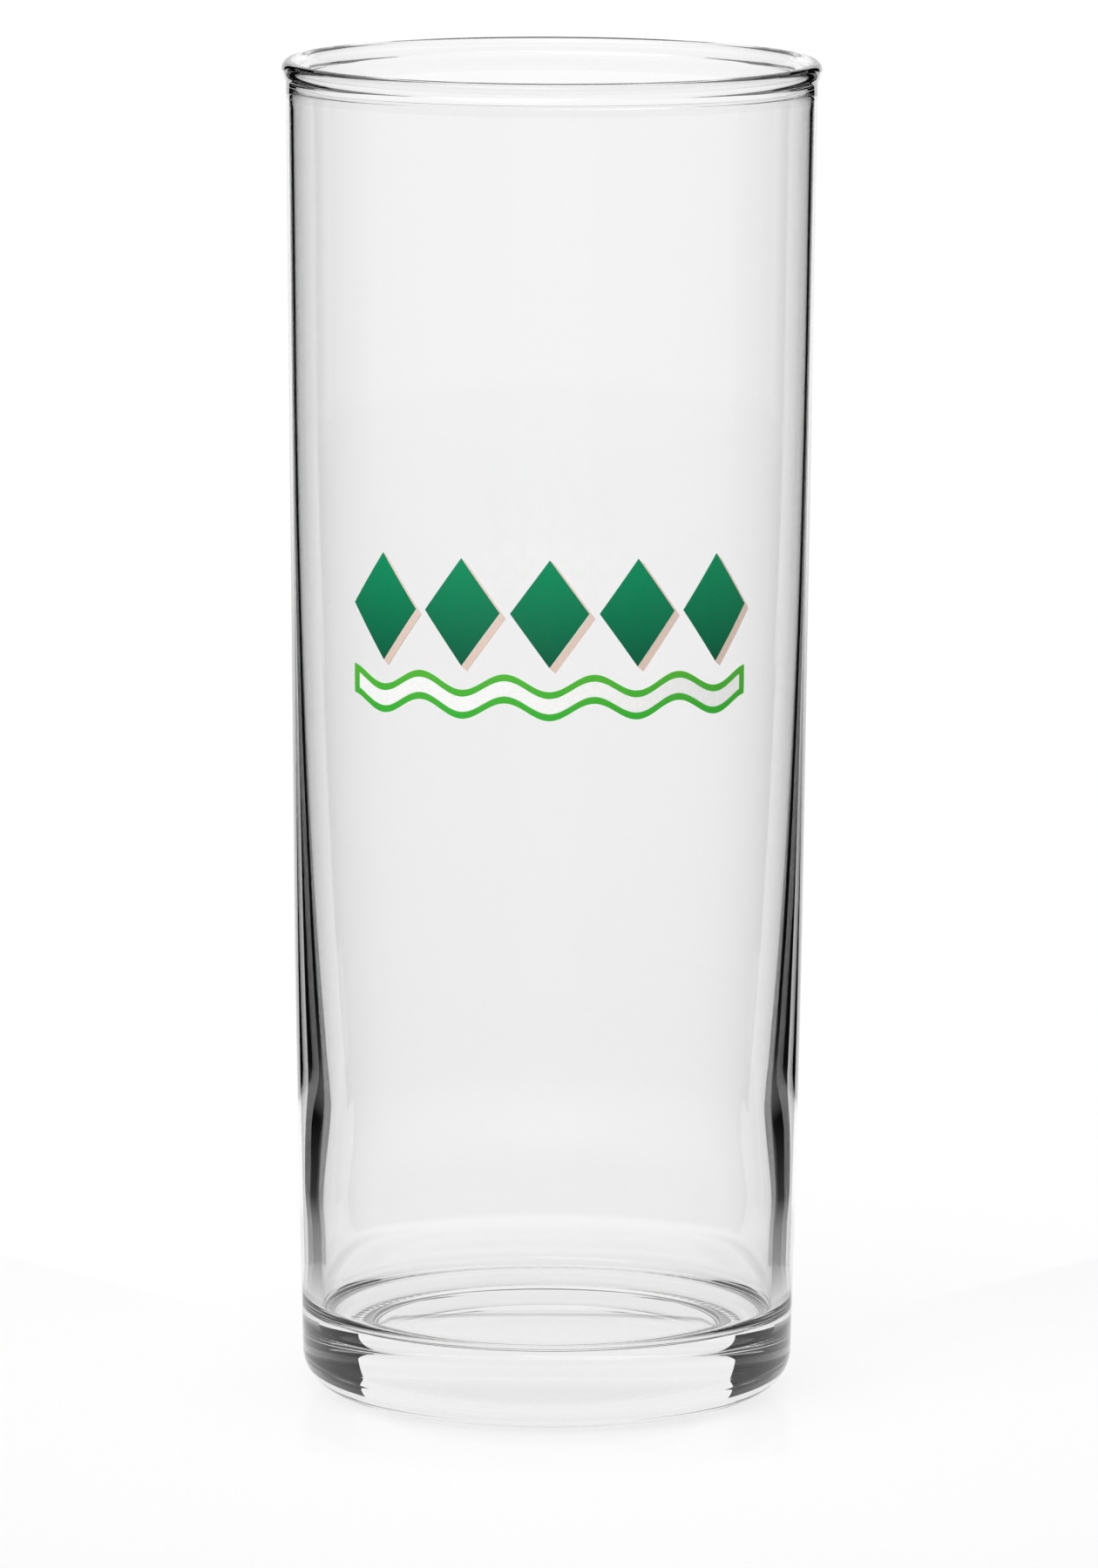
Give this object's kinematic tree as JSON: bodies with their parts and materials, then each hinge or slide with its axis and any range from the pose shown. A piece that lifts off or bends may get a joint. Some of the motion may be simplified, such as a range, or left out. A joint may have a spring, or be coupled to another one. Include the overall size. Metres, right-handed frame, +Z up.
{
  "type": "zombie glass",
  "caption": "Tall straight-sided clear tumbler with a beaded rim, a heavy base and a printed enamel band of lozenges over a waved ribbon.",
  "frame": {"origin": "centre of the bearing ring, on the surface that the glass stands on", "axes": "+Z up along the axis of the glass, -Y towards the printed front, +X to the right of the print"},
  "size_m": [0.0636, 0.0636, 0.1587],
  "materials": {
    "clear_glass": "clear, fire-polished",
    "enamel_green": "fired gloss enamel",
    "enamel_tan": "fired gloss enamel",
    "enamel_lime": "fired gloss enamel",
    "enamel_white": "fired gloss enamel"
  },
  "bodies": {
    "root": {"glass_body": "clear_glass", "green_lozenge_1": "enamel_green", "green_lozenge_2": "enamel_green", "green_lozenge_3": "enamel_green", "green_lozenge_4": "enamel_green", "green_lozenge_5": "enamel_green", "tan_shadow_1": "enamel_tan", "tan_shadow_2": "enamel_tan", "tan_shadow_3": "enamel_tan", "tan_shadow_4": "enamel_tan", "tan_shadow_5": "enamel_tan", "lime_ribbon_border": "enamel_lime", "white_ribbon_field": "enamel_white"}
  },
  "joints": []
}
